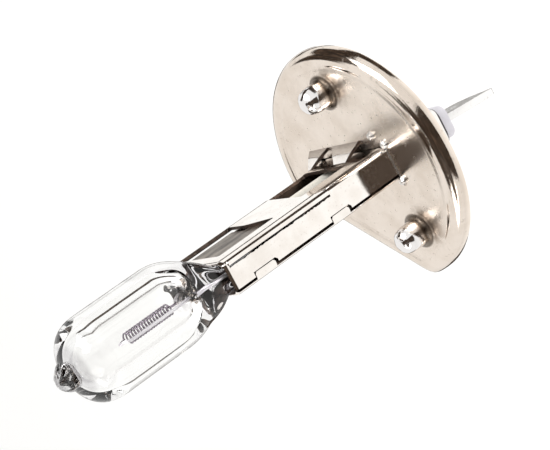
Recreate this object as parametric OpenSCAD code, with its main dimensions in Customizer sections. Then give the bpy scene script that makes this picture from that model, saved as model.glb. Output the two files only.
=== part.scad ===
// Halogen headlight bulb with a pressed disc flange, a folded holder and a spade terminal.
// The lamp axis is +Z towards the glass tip. The origin is on that axis, in the flange's front face.

/* [Flange] */
// Diameter of the round flange
flange_d = 27; // [25:0.1:30]
// Sheet thickness of the flange
flange_t = 0.6; // [0.4:0.05:0.8]
// How far the rolled rim reaches behind the front face
rim_depth = 1.6; // [1.4:0.1:2.4]
// Outside radius of the bend between face and rim
rim_bend_r = 1.3; // [1.0:0.05:1.35]
// Distance from the axis to the flat
flat_dist = 9.4; // [9.2:0.1:11]
// Direction that the flat faces, in degrees from +X
flat_dir = 233; // [225:1:240]

/* [Seating bosses] */
// Height of each boss above the front face
boss_h = 3.0; // [2.4:0.1:3.4]
// Diameter of each boss
boss_d = 3.0; // [2.6:0.1:3.2]
// Diameter of the circle through the bosses
boss_circle_d = 17.8; // [17:0.1:18.4]
// Directions of the bosses, in degrees from +X
boss_dirs = [88, 193, 298]; // [0:1:360]

/* [Holder] */
// Width of the holder, along X
holder_w = 11.4; // [10.8:0.1:12]
// Thickness of the holder, along Y
holder_h = 3.75; // [3.6:0.05:4]
// Height of the holder's open end above the flange
holder_top = 23.4; // [22.8:0.1:24]
// Sheet thickness of the holder
holder_t = 0.35; // [0.25:0.01:0.4]
// Outside bend radius of the holder's corners
holder_bend_r = 0.55; // [0.45:0.05:0.6]

/* [Glass] */
// Outside diameter of the barrel
glass_d = 9; // [8.6:0.1:9.4]
// Inside diameter of the barrel
bore_d = 4.9; // [4.4:0.1:6]
// Height of the exhaust tip above the flange
tip_z = 41.9; // [41.4:0.1:43]
// Width of the flattened pinch
pinch_w = 9.2; // [8.4:0.1:9.6]
// Thickness of the flattened pinch
pinch_h = 2.6; // [2.4:0.05:2.7]
// Height of the pinch's lower end above the flange
pinch_low = 12.4; // [12:0.1:13]

/* [Filament] */
// Height of the coil's near end above the seating bosses
coil_start = 25; // [24.5:0.1:25.5]
// Length of the coil
coil_l = 5.6; // [4.6:0.1:6]
// Outside diameter of the coil
coil_d = 1.35; // [1.1:0.05:1.5]
// Turns in the coil
coil_turns = 20; // [12:1:24]
// Diameter of the filament's straight legs
leg_d = 0.3; // [0.2:0.02:0.36]

/* [Terminal] */
// Width of the spade blade
blade_w = 6.3; // [6.2:0.05:6.4]
// Thickness of the spade blade
blade_t = 0.8; // [0.7:0.05:0.85]
// Distance from the flange's front face back to the blade's end
blade_end = 18.4; // [17:0.1:20]
// Turn of the blade about the lamp axis, in degrees
blade_turn = 6; // [0:1:8]
// Lean of the blade away from the lamp axis, in degrees
blade_lean = 4; // [0:1:5]

/* [Hidden] */
$fn = 64;
eps = 0.01;
gap = 0.05;

// Flange and collar
disc_r = flange_d / 2;
slot_gap = 0.06;
boss_r = boss_d / 2;
boss_wall = 0.5;
land_rise = 0.1;
skirt_r = 0.5;
collar_w = 10.4;
collar_h = 4.0;
collar_t = 0.35;
collar_rear = -8.2;
collar_bend_r = 0.7;
collar_foot_w = 14.4;
collar_foot_h = 7.2;

// Holder: everything is set out from its section
side_x = holder_w / 2;
side_y = holder_h / 2;
holder_low = -1.5;
floor_y = -side_y + holder_t;
lug_spans = [[7.4, 9.8], [17.9, 20.6]];
lug_h = 1.0;
front_window = [[-side_x + 0.75, 14.6], [-1.4, 14.8], [3.0, 14.0], [3.0, 21.7], [-side_x + 0.75, 21.7]];
rear_window = [[-side_x + holder_t, 3.2], [-0.5, 3.2], [2.5, 3.0], [2.5, 9.7], [-side_x + holder_t, 8.9]];
floor_window = [[-3.2, 3.2], [3.2, 3.2], [3.2, 9.4], [-3.2, 9.4]];
hem_t = 0.15;
hem_h = 0.45;
hem_span = [8.7, 22.8];
foot_rise = 2.3;
foot_reach = 1.2;

// Glass profile: a round shoulder behind, a squarer one in front, then the exhaust tip
glass_r = glass_d / 2;
rear_centre = 28.2;
rear_len = 5.0;
front_centre = 36.4;
front_len = 3.9;
front_power = 2.5;
tip_r = 1.45;
cavity_rear = [28.4, 3.5];
cavity_front = [36.0, 2.4];
shoulder_steps = 12;

// Leads: the two sides of the pinch are half a foil pitch from the axis
lead_x = 2.6;
foil_w = 2.0;
foil_t = 0.1;
foil_low = 14.6;
foil_high = 20.4;
lead_d = 0.4;
pin_d = 0.5;
pin_low = 10.2;
coil_y = -0.3;
coil_low = boss_h + coil_start;
coil_high = coil_low + coil_l;
leg_l = 1.1;
return_x = 1.25;
return_y = -0.45;
strap_w = 1.1;
strap_t = 0.25;
sleeve_d = 1.7;
sleeve_bore = 1.25;

// Terminal
blade_y = -0.45;
root_z = -9.6;
tang_w = 3.2;
tang_top = 5.6;
blade_top = 3.0;
blade_chamfer = 0.9;
head_w = 10.0;
head_h = 3.6;
cement_low = -4.2;
cement_high = -1.7;

// A rectangle with true round corners, centred
module rounded_plate(w, h, r) {
    square([w, h - 2 * r], center = true);
    square([w - 2 * r, h], center = true);
    for (sx = [-1, 1], sy = [-1, 1])
        translate([sx * (w / 2 - r), sy * (h / 2 - r)]) circle(r);
}

// An extruded rounded rectangle between two heights
module rounded_bar(w, h, r, low, high) {
    translate([0, 0, low]) linear_extrude(high - low) rounded_plate(w, h, r);
}

// A block from one corner to the opposite one
module block(a, b) {
    translate(a) cube(b - a);
}

// A straight round wire between two points
module wire(a, b, d) {
    v = b - a;
    bearing = atan2(v[1], v[0]);
    tilt = acos(v[2] / norm(v));
    translate(a) rotate([0, tilt, bearing]) cylinder(h = norm(v), d = d, $fn = 24);
}

// A wire through several points, with slightly swollen elbows
module bent_wire(points, d) {
    for (i = [0 : len(points) - 2]) wire(points[i], points[i + 1], d);
    for (i = [1 : len(points) - 2]) translate(points[i]) sphere(d = 1.08 * d, $fn = 24);
}

// Half section of the flange. A positive inset gives its hollow back.
module flange_section(reach, inset, back) {
    edge = reach - inset;
    bend = rim_bend_r - inset;
    low = -rim_depth - inset;
    translate([-back, low]) square([back + edge, rim_depth - bend]);
    translate([-back, low]) square([back + edge - bend, rim_depth]);
    intersection() {
        translate([edge - bend, -inset - bend]) circle(bend);
        translate([edge - bend, -inset - bend]) square(bend);
    }
}

// The round form and the flat form, both with the rolled edge
module flange_form(inset) {
    intersection() {
        rotate_extrude($fn = 128) flange_section(disc_r, inset, 0);
        rotate([0, 0, flat_dir]) rotate([90, 0, 0])
            linear_extrude(2 * flange_d, center = true) flange_section(flat_dist, inset, flange_d);
    }
}

module boss_outside() {
    dome_low = boss_h - boss_r + land_rise;
    cylinder(h = dome_low, r = boss_r);
    // The dome is cut flat at its tip, where the boss meets the seat
    intersection() {
        translate([0, 0, dome_low]) sphere(boss_r);
        cylinder(h = boss_h, r = flange_d);
    }
    // A small drawn fillet round the foot of the boss
    difference() {
        translate([0, 0, -flange_t / 2]) cylinder(h = flange_t / 2 + skirt_r, r = boss_r + skirt_r);
        rotate_extrude() translate([boss_r + skirt_r, skirt_r]) circle(skirt_r);
    }
}

module boss_hollow() {
    r = boss_r - boss_wall;
    translate([0, 0, -flange_t - eps]) cylinder(h = boss_h - boss_r + flange_t + eps, r = r);
    translate([0, 0, boss_h - boss_r]) sphere(r);
}

module at_bosses() {
    for (dir = boss_dirs) rotate([0, 0, dir]) translate([boss_circle_d / 2, 0, 0]) children();
}

module base_disc() {
    color([0.85, 0.81, 0.76])
    difference() {
        union() {
            difference() {
                flange_form(0);
                flange_form(flange_t);
            }
            at_bosses() boss_outside();
        }
        at_bosses() boss_hollow();
        rounded_bar(holder_w + 2 * slot_gap, holder_h + 2 * slot_gap, holder_bend_r, -flange_t - 1, 1);
    }
}

// The folded tube that both holder halves are cut from
module holder_tube() {
    inner_r = holder_bend_r - holder_t;
    difference() {
        rounded_bar(holder_w, holder_h, holder_bend_r, holder_low, holder_top);
        rounded_bar(holder_w - 2 * holder_t, holder_h - 2 * holder_t, inner_r,
                    holder_low - 1, holder_top + 1);
    }
}

// A window through the wide walls on one side of the middle plane, outlined in X and Z
module wall_window(outline, side) {
    rotate([90, 0, 0]) translate([0, 0, side > 0 ? -holder_h : 0]) linear_extrude(holder_h) polygon(outline);
}

// The zones at the foot of the narrow walls where the lower half's lugs come up
module lug_zones(spread) {
    for (sx = [-1, 1], span = lug_spans)
        block([sx > 0 ? 0 : -holder_w, -holder_h, span[0] - spread],
              [sx > 0 ? holder_w : 0, -side_y + lug_h + spread, span[1] + spread]);
}

// A tongue that leans from the wide wall down onto the flange
module leaning_foot(outline) {
    lean = atan2(foot_rise, -foot_reach);
    translate([0, side_y + foot_reach, 0]) rotate([lean, 0, 0])
        translate([0, 0, -holder_t]) linear_extrude(holder_t) polygon(outline);
}

module feet() {
    slope = norm([foot_rise, foot_reach]) + holder_t;
    intersection() {
        union() {
            leaning_foot([[-7.0, 0], [-3.6, 0], [-4.9, slope], [-5.3, slope]]);
            leaning_foot([[-2.8, 0], [2.0, 0], [1.4, slope], [-0.6, slope]]);
        }
        block([-holder_w, side_y - holder_t / 2, 0], [holder_w, holder_h, foot_rise + holder_t]);
    }
}

module holder_shell_upper() {
    color([0.9, 0.88, 0.86])
    union() {
        difference() {
            holder_tube();
            block([-holder_w, -holder_h, holder_low - 1], [holder_w, floor_y + gap, holder_top + 1]);
            lug_zones(gap);
            wall_window(front_window, 1);
            wall_window(rear_window, 1);
        }
        // The wide wall's edge is folded down over each narrow wall
        for (sx = [-1, 1])
            block([sx > 0 ? side_x - eps : -side_x - hem_t, side_y - holder_bend_r - hem_h, hem_span[0]],
                  [sx > 0 ? side_x + hem_t : -side_x + eps, side_y - holder_bend_r, hem_span[1]]);
        feet();
    }
}

module holder_shell_lower() {
    color([0.8, 0.78, 0.76])
    difference() {
        intersection() {
            holder_tube();
            union() {
                block([-holder_w, -holder_h, holder_low], [holder_w, floor_y, holder_top]);
                lug_zones(0);
            }
        }
        wall_window(floor_window, -1);
    }
}

module pinch_spring(side) {
    low = side > 0 ? pinch_h / 2 : -side_y + holder_t;
    high = side > 0 ? side_y - holder_t : -pinch_h / 2;
    block([-3.6, low, 15.2], [3.6, high, 21]);
    // The spring's toe reaches down past the end of the pinch
    block([-1.2, low, 13], [1.2, high, 15.2 + eps]);
}

module pinch_spring_upper() {
    color([0.62, 0.6, 0.58]) pinch_spring(1);
}

module pinch_spring_lower() {
    color([0.62, 0.6, 0.58]) pinch_spring(-1);
}

// One bead at each corner of the slot, and one out on the flange's face
module weld_beads() {
    color([0.93, 0.91, 0.88])
    difference() {
        union() {
            for (sx = [-1, 1], sy = [-1, 1])
                translate([sx * (side_x + 0.1), sy * (side_y + 0.25), 0]) sphere(0.55);
            translate([4.4, side_y + 1.4, 0]) sphere(0.5);
        }
        block([-flange_d, -flange_d, -2], [flange_d, flange_d, 0]);
        rounded_bar(holder_w, holder_h, holder_bend_r, -1, 2);
    }
}

module rear_collar() {
    back = -flange_t;
    color([0.86, 0.84, 0.8])
    difference() {
        union() {
            rounded_bar(collar_w, collar_h, collar_bend_r, collar_rear, back - holder_t);
            rounded_bar(collar_foot_w, collar_foot_h, 1.6, back - holder_t, back);
        }
        rounded_bar(collar_w - 2 * collar_t, collar_h - 2 * collar_t, collar_bend_r - collar_t,
                    collar_rear - 1, holder_low - gap);
        rounded_bar(holder_w + 2 * slot_gap, holder_h + 2 * slot_gap, holder_bend_r,
                    holder_low - gap, back + 1);
    }
}

// Places a shape in the blade's own frame: its length along Z, from the insulator's rear face
module on_blade() {
    translate([0, blade_y, root_z]) rotate([-blade_lean, 0, blade_turn]) children();
}

// The blade's outline in X and Z, with a narrow tang and a chamfered end
module blade_outline() {
    end = -(blade_end + root_z);
    half = blade_w / 2;
    polygon([[-half, blade_top], [-half, end + blade_chamfer], [-half + blade_chamfer, end],
             [half - blade_chamfer, end], [half, end + blade_chamfer], [half, blade_top],
             [tang_w / 2, blade_top], [tang_w / 2, tang_top], [-tang_w / 2, tang_top],
             [-tang_w / 2, blade_top]]);
}

module terminal_blade() {
    color([0.87, 0.85, 0.82])
    on_blade() rotate([90, 0, 0]) linear_extrude(blade_t, center = true) blade_outline();
}

// The slot in the insulator that the blade is pushed into
module blade_slot() {
    on_blade() block([-blade_w / 2 - gap, -blade_t / 2 - gap, -8], [blade_w / 2 + gap, blade_t / 2 + gap, 12]);
}

module insulator() {
    inner_w = collar_w - 2 * collar_t - 2 * gap;
    inner_h = collar_h - 2 * collar_t - 2 * gap;
    color([0.9, 0.89, 0.93])
    difference() {
        union() {
            rounded_bar(inner_w, inner_h, 0.4, collar_rear, cement_low);
            rounded_bar(head_w, head_h, 1.0, root_z, collar_rear);
        }
        blade_slot();
    }
}

// Potting that fills the collar between the insulator and the holder, round the strap and the tang
module cement() {
    color([0.82, 0.79, 0.72])
    difference() {
        rounded_bar(collar_w - 2 * collar_t - 2 * gap, collar_h - 2 * collar_t - 2 * gap, 0.3,
                    cement_low, cement_high);
        strap_run(gap);
        sleeve_run(sleeve_d + 2 * gap);
        blade_slot();
    }
}

function shoulder(r, centre, length, power, sign) =
    [for (i = [0 : shoulder_steps]) let (t = sin(90 * i / shoulder_steps))
        [r * pow(max(0, 1 - pow(t, power)), 1 / power), centre + sign * length * t]];

function flip(points) = [for (i = [len(points) - 1 : -1 : 0]) points[i]];

module glass_form(r, rear, rear_l, front, front_l, power) {
    rotate_extrude()
        polygon(concat(flip(shoulder(r, rear, rear_l, 2, -1)), shoulder(r, front, front_l, power, 1)));
}

// The pinch is the overlap of its front outline and its side outline
module pinch() {
    half_w = pinch_w / 2;
    half_h = pinch_h / 2;
    blend = 25.2;
    intersection() {
        rotate([90, 0, 0]) linear_extrude(glass_d, center = true)
            polygon([[-half_w + 0.4, pinch_low], [half_w - 0.4, pinch_low], [half_w, pinch_low + 0.5],
                     [half_w, 22.6], [glass_r - 0.3, blend + 0.8], [-glass_r + 0.3, blend + 0.8],
                     [-half_w, 22.6], [-half_w, pinch_low + 0.5]]);
        rotate([90, 0, 90]) linear_extrude(2 * glass_d, center = true)
            polygon([[-half_h, pinch_low], [half_h, pinch_low], [half_h, 21.8], [half_h + 0.35, 23.2],
                     [half_h + 1.2, blend], [-half_h - 1.2, blend], [-half_h - 0.35, 23.2], [-half_h, 21.8]]);
    }
}

module quartz_envelope() {
    color([0.85, 0.88, 0.9, 0.45])
    difference() {
        union() {
            glass_form(glass_r, rear_centre, rear_len, front_centre, front_len, front_power);
            pinch();
            translate([0, 0, tip_z - tip_r]) sphere(tip_r);
        }
        glass_form(bore_d / 2, cavity_rear[0], cavity_rear[1], cavity_front[0], cavity_front[1], 2);
        foil(1);
        foil(-1);
        pin(1);
        pin(-1);
        rear_lead_run();
        return_lead_run();
    }
}

// A ribbon sealed in the pinch, on the side given
module foil(side) {
    block([side * lead_x - foil_w / 2, -foil_t / 2, foil_low], [side * lead_x + foil_w / 2, foil_t / 2, foil_high]);
}

module foil_live() {
    color([0.45, 0.44, 0.46]) foil(-1);
}

module foil_ground() {
    color([0.45, 0.44, 0.46]) foil(1);
}

// An outer pin butts against its ribbon's lower edge and runs out of the pinch
module pin(side) {
    translate([side * lead_x, 0, pin_low]) cylinder(h = foil_low - pin_low, d = pin_d);
}

module pin_live() {
    color([0.5, 0.49, 0.5]) pin(-1);
}

module pin_ground() {
    color([0.5, 0.49, 0.5]) pin(1);
}

module rear_lead_run() {
    bent_wire([[-lead_x, 0, foil_high], [-lead_x, 0, 23], [-1.2, -0.1, 24.6], [-1.2, -0.1, 25.6],
               [-leg_d, coil_y, coil_low - leg_l]], lead_d);
}

module rear_lead() {
    color([0.4, 0.39, 0.42]) rear_lead_run();
}

module return_lead_run() {
    bent_wire([[lead_x, 0, foil_high], [lead_x, 0, 23], [return_x, return_y, 24.8],
               [return_x, return_y, coil_high + leg_l - 0.5], [leg_d, coil_y, coil_high + leg_l]], lead_d);
}

module return_lead() {
    color([0.4, 0.39, 0.42]) return_lead_run();
}

// Closed turns side by side, then a straight leg at each end
module filament() {
    pitch = coil_l / coil_turns;
    wire_d = pitch * 1.04;
    color([0.42, 0.4, 0.45])
    translate([0, coil_y, 0]) {
        for (i = [0 : coil_turns - 1])
            translate([0, 0, coil_low + pitch * (i + 0.5)])
                rotate_extrude($fn = 32) translate([coil_d / 2 - wire_d / 2, 0]) circle(d = wire_d, $fn = 16);
        for (z = [coil_low - leg_l, coil_high - pitch / 2])
            translate([0, 0, z]) cylinder(h = leg_l + pitch / 2, d = leg_d, $fn = 24);
        for (z = [coil_low + pitch / 2, coil_high - pitch / 2])
            translate([0, 0, z]) rotate([90, 0, 0]) cylinder(h = coil_d / 2 - wire_d / 2, d = wire_d, $fn = 24);
    }
}

// The strip that carries current from the live pin to the blade's tang
module strap_run(spread) {
    x = -lead_x;
    block([x - strap_w / 2 - spread, pin_d / 2 - spread, cement_low + 0.6 - spread],
          [x + strap_w / 2 + spread, pin_d / 2 + strap_t + spread, 11.6]);
    block([x - strap_w / 2 - spread, pin_d / 2 - spread, cement_low + 0.4 - spread],
          [1.2 + spread, pin_d / 2 + strap_t + spread, cement_low + 1.5 + spread]);
}

module live_strap() {
    color([0.75, 0.74, 0.72]) strap_run(0);
}

module ground_strap() {
    color([0.75, 0.74, 0.72])
    block([lead_x - 0.55, -pin_d / 2 - strap_t, pin_low + 0.2],
          [side_x - holder_t, -pin_d / 2, pin_low + 1.5]);
}

module sleeve_run(d) {
    translate([-lead_x, pin_d / 2 + strap_t / 2, cement_high - 0.8]) cylinder(h = 10.4, d = d);
}

module lead_sleeve() {
    color([0.93, 0.92, 0.88])
    difference() {
        sleeve_run(sleeve_d);
        translate([-lead_x, pin_d / 2 + strap_t / 2, cement_high - 2]) cylinder(h = 14, d = sleeve_bore);
    }
}

quartz_envelope();
filament();
rear_lead();
return_lead();
foil_live();
foil_ground();
pin_live();
pin_ground();
live_strap();
ground_strap();
lead_sleeve();
pinch_spring_upper();
pinch_spring_lower();
holder_shell_upper();
holder_shell_lower();
base_disc();
weld_beads();
rear_collar();
insulator();
cement();
terminal_blade();
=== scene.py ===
import math
import random

import bmesh
import bpy
from mathutils import Matrix, Vector, noise
from mathutils.geometry import delaunay_2d_cdt


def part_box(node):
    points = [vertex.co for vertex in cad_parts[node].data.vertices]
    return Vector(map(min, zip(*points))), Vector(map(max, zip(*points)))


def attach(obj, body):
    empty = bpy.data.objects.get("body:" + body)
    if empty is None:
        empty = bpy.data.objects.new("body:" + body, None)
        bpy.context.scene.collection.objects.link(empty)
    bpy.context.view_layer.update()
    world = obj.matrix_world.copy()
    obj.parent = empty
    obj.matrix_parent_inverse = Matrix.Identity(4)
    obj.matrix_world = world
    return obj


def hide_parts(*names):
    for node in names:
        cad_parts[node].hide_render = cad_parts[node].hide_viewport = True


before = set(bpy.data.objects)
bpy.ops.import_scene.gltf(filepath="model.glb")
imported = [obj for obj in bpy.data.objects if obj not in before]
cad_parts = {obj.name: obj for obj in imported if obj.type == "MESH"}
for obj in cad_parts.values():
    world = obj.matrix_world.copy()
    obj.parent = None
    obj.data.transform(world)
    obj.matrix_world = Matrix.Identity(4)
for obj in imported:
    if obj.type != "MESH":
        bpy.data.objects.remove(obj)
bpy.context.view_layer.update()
scene = bpy.context.scene
mm = 0.001  # every shape below is worked out in millimetres
print("frame loaded:", len(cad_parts), "parts")


def span(node):
    low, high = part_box(node)
    return low / mm, high / mm


# the camera looks at the narrow side of the lamp, from above the flange
view = {
    "aim": (-0.1, 0.4, 12.4),
    "distance": 219.8,
    "azimuth": 14.0,
    "elevation": 31.2,
    "roll": -125.4,
    "lens": 143.0,
}


def direction(azimuth, elevation):
    a, e = math.radians(azimuth), math.radians(elevation)
    return Vector((math.cos(e) * math.cos(a), math.cos(e) * math.sin(a), math.sin(e)))


def placeCamera(spec):
    back = direction(spec["azimuth"], spec["elevation"])
    plumb = (Vector((0, 0, 1)) - back.z * back).normalized()
    level = (-back).cross(plumb)
    roll = math.radians(spec["roll"])
    up = plumb * math.cos(roll) - level * math.sin(roll)
    right = (-back).cross(up)
    data = bpy.data.cameras.new("camera")
    data.lens = spec["lens"]
    data.sensor_width = 36
    data.clip_start = 0.01
    data.clip_end = 20
    camera = bpy.data.objects.new("camera", data)
    scene.collection.objects.link(camera)
    turn = Matrix((right, up, back)).transposed().to_4x4()
    place = (Vector(spec["aim"]) + back * spec["distance"]) * mm
    camera.matrix_world = Matrix.Translation(place) @ turn
    scene.camera = camera


placeCamera(view)
scene.view_settings.view_transform = "Standard"
print("camera placed")


class Flow:
    # a shader socket that takes part in sums
    def __init__(self, finish, socket):
        self.finish = finish
        self.socket = socket

    def sum(self, operation, first, second):
        return self.finish.node("ShaderNodeMath", {"operation": operation}, {0: first, 1: second})

    def __add__(self, other):
        return self.sum("ADD", self, other)

    def __radd__(self, other):
        return self.sum("ADD", other, self)

    def __sub__(self, other):
        return self.sum("SUBTRACT", self, other)

    def __rsub__(self, other):
        return self.sum("SUBTRACT", other, self)

    def __mul__(self, other):
        return self.sum("MULTIPLY", self, other)

    def __rmul__(self, other):
        return self.sum("MULTIPLY", other, self)

    def __truediv__(self, other):
        return self.sum("DIVIDE", self, other)

    def __rtruediv__(self, other):
        return self.sum("DIVIDE", other, self)

    def __abs__(self):
        return self.finish.node("ShaderNodeMath", {"operation": "ABSOLUTE"}, {0: self})


class Finish:
    def __init__(self, name):
        self.material = bpy.data.materials.new(name)
        self.material.use_nodes = True
        self.tree = self.material.node_tree
        self.tree.nodes.clear()

    def node(self, kind, settings=None, inputs=None, output=0):
        made = self.tree.nodes.new(kind)
        for key, value in (settings or {}).items():
            setattr(made, key, value)
        for key, value in (inputs or {}).items():
            if isinstance(value, Flow):
                self.tree.links.new(value.socket, made.inputs[key])
            else:
                made.inputs[key].default_value = value
        return Flow(self, made.outputs[output]) if made.outputs else None

    def place(self, stretch):
        spot = self.node("ShaderNodeTexCoord", output="Object")
        return self.node("ShaderNodeMapping", {}, {"Vector": spot, "Scale": stretch})

    def grain(self, size, detail, stretch=(1, 1, 1)):
        # noise whose features are about size millimetres across
        return self.node("ShaderNodeTexNoise", {}, {
            "Vector": self.place(stretch), "Scale": 1 / (size * mm), "Detail": detail})

    def step(self, value, low, high):
        return self.node("ShaderNodeMapRange", {"interpolation_type": "SMOOTHSTEP"}, {
            "Value": value, "From Min": low, "From Max": high})

    def height(self):
        # along the lamp's axis, in millimetres
        spot = self.node("ShaderNodeTexCoord", output="Object")
        return self.node("ShaderNodeSeparateXYZ", {}, {0: spot}, output="Z") / mm

    def distance(self, point):
        # from a line along the lamp's axis through the point, in millimetres
        spot = self.node("ShaderNodeTexCoord", output="Object")
        flat = self.node("ShaderNodeVectorMath", {"operation": "MULTIPLY"}, {0: spot, 1: (1, 1, 0)})
        target = (point[0] * mm, point[1] * mm, 0)
        return self.node("ShaderNodeVectorMath", {"operation": "DISTANCE"}, {0: flat, 1: target},
                         output="Value") / mm

    def blend(self, factor, first, second):
        # sockets 6 and 7 take the two colours, and output 2 gives their mix
        return self.node("ShaderNodeMix", {"data_type": "RGBA"}, {
            "Factor": factor, 6: self.tone(first), 7: self.tone(second)}, output=2)

    def tone(self, value):
        return value if isinstance(value, Flow) else (*value, 1)

    def bump(self, height, depth):
        # depth is in millimetres
        return self.node("ShaderNodeBump", {}, {"Height": height, "Strength": 1.0, "Distance": depth * mm})

    def surface(self, sockets):
        shader = self.node("ShaderNodeBsdfPrincipled", {}, sockets)
        self.node("ShaderNodeOutputMaterial", {}, {"Surface": shader})
        return self.material


wearAndPaintedLight = {
    # grain
    "cloudEdge": (0.35, 0.7), "speckEdge": (0.62, 0.74), "speckMatt": 0.12,
    # the painted reflection of each boss, a brown patch on the flange beside it: its reach, its height and
    # how broken it is
    "reflectionReach": (2.9, 1.0), "reflectionRise": (0.7, 0.3), "reflectionGrain": 0.9, "reflectionEdge": (0.25, 0.55),
    "reflectionTint": 0.9, "reflectionMatt": 0.2, "pitGrain": 0.5, "pit": 0.04,
    # the painted shade ring at a boss's foot
    "footReach": (2.1, 1.85), "footRise": (0.95, 0.6), "footTint": 0.85,
    # the flat of the flange, and the bosses' upper parts, painted lighter as a painted highlight
    "flatReach": (12.0, 11.4), "flatRise": (0.5, 0.1), "highlightRise": (0.5, 1.4),
    "seamMatt": 0.3,
}


def metalFinish(name, look):
    finish = Finish(name)
    cloud = finish.grain(look["cloud"], 4, look.get("drawn", (1, 1, 1)))
    speck = finish.step(finish.grain(look["speck"], 2), *wearAndPaintedLight["speckEdge"])
    tone = finish.blend(finish.step(cloud, *wearAndPaintedLight["cloudEdge"]), look["light"], look["dark"])
    # stain specks; the same stain tone also paints the reflection beside each boss, below
    tone = finish.blend(speck * look["specks"], tone, look["stainAndReflection"])
    fine = finish.grain(look["fine"], 3, look.get("drawn", (1, 1, 1)))
    wave = finish.grain(look["wave"], 1)
    relief = fine * look["scratch"] + wave * look["dent"]
    reflectedPatches = 0
    for spot in look.get("bosses", ()):
        # a brown patch is painted on the flange beside each drawn boss, a painted reflection of the boss,
        # and the sheet is pitted and roughened there
        away = finish.distance(spot + look["reflectionShift"])
        paintedReflection = finish.step(away, *wearAndPaintedLight["reflectionReach"]) * finish.step(finish.height(), *wearAndPaintedLight["reflectionRise"])
        paintedReflection = paintedReflection * finish.step(finish.grain(wearAndPaintedLight["reflectionGrain"], 4), *wearAndPaintedLight["reflectionEdge"])
        relief = relief + finish.grain(wearAndPaintedLight["pitGrain"], 2) * paintedReflection * wearAndPaintedLight["pit"]
        reflectedPatches = reflectedPatches + paintedReflection
        tone = finish.blend(paintedReflection * wearAndPaintedLight["reflectionTint"], tone, look["stainAndReflection"])
        # and its foot gets a dark ring of painted shade
        foot = finish.step(finish.distance(spot), *wearAndPaintedLight["footReach"])
        foot = foot * finish.step(finish.height(), *wearAndPaintedLight["footRise"])
        tone = finish.blend(foot * wearAndPaintedLight["footTint"], tone, look["grimeAndShade"])
    low, high = look["gloss"]
    rough = low + (high - low) * cloud + speck * wearAndPaintedLight["speckMatt"]
    if "matt" in look:
        # the flat of the flange is duller than its rim and its bosses
        flat = finish.step(finish.distance((0, 0)), *wearAndPaintedLight["flatReach"])
        flat = flat * finish.step(finish.height(), *wearAndPaintedLight["flatRise"])
        rough = rough + flat * look["matt"] + reflectedPatches * wearAndPaintedLight["reflectionMatt"]
        # the bosses' upper parts are painted lighter, a painted highlight
        tone = finish.blend(finish.step(finish.height(), *wearAndPaintedLight["highlightRise"]), tone, look["highlightTone"])
    for level, half in look.get("seams", ()):
        # grime in the narrow seams
        near = finish.step(abs(finish.height() - level), half, half / 2)
        tone = finish.blend(near, tone, look["stainAndReflection"])
        rough = rough + near * wearAndPaintedLight["seamMatt"]
    return finish.surface({
        "Base Color": tone,
        "Metallic": 1.0,
        "Roughness": rough,
        "Normal": finish.bump(relief, 1.0),
    })


collarFinish = metalFinish("drawnCollarSteel", {
    "seams": ((-1.0, 0.1), (-8.12, 0.12)),
    "light": (0.9, 0.88, 0.86), "dark": (0.78, 0.75, 0.72), "stainAndReflection": (0.02, 0.015, 0.012),
    "cloud": 2.4, "speck": 0.4, "specks": 0.1, "fine": 0.16, "wave": 4.0,
    "scratch": 0.003, "dent": 0.015, "gloss": (0.1, 0.22)})
holderFinish = metalFinish("platedHolderSheet", {
    "light": (0.95, 0.91, 0.87), "dark": (0.86, 0.81, 0.76), "stainAndReflection": (0.45, 0.38, 0.32),
    "cloud": 2.2, "speck": 0.3, "specks": 0.3, "fine": 0.2, "wave": 3.0,
    "scratch": 0.0012, "dent": 0.012, "gloss": (0.04, 0.13)})
# the inner faces and cut edges of the holder sheets: the same plated sheet painted dark, as painted shade
shadedHolderInside = metalFinish("paintedShadeHolderInside", {
    "light": (0.16, 0.12, 0.1), "dark": (0.05, 0.038, 0.032), "stainAndReflection": (0.3, 0.25, 0.2),
    "cloud": 1.4, "speck": 0.35, "specks": 0.5, "fine": 0.2, "wave": 2.0,
    "scratch": 0.002, "dent": 0.02, "gloss": (0.25, 0.45)})
weldFinish = metalFinish("meltedWeldMetal", {
    "light": (0.92, 0.9, 0.87), "dark": (0.62, 0.58, 0.55), "stainAndReflection": (0.2, 0.16, 0.13),
    "cloud": 0.5, "speck": 0.2, "specks": 0.5, "fine": 0.12, "wave": 0.6,
    "scratch": 0.004, "dent": 0.02, "gloss": (0.15, 0.4)})
springFinish = metalFinish("temperedSpringSteel", {
    "light": (0.42, 0.36, 0.3), "dark": (0.1, 0.08, 0.065), "stainAndReflection": (0.06, 0.045, 0.035),
    "cloud": 1.3, "speck": 0.3, "specks": 0.6, "fine": 0.15, "wave": 1.5, "drawn": (1, 1, 0.25),
    "scratch": 0.002, "dent": 0.02, "gloss": (0.2, 0.4)})
coilFinish = metalFinish("burntTungstenWire", {
    "light": (0.3, 0.25, 0.31), "dark": (0.13, 0.1, 0.13), "stainAndReflection": (0.55, 0.5, 0.58),
    "cloud": 0.5, "speck": 0.25, "specks": 0.4, "fine": 0.08, "wave": 0.8,
    "scratch": 0.002, "dent": 0.004, "gloss": (0.28, 0.5)})
leadFinish = metalFinish("drawnMolybdenum", {
    "light": (0.5, 0.48, 0.5), "dark": (0.3, 0.27, 0.28), "stainAndReflection": (0.16, 0.13, 0.12),
    "cloud": 0.8, "speck": 0.3, "specks": 0.3, "fine": 0.1, "wave": 1.2, "drawn": (1, 1, 0.2),
    "scratch": 0.0015, "dent": 0.01, "gloss": (0.2, 0.4)})
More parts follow.
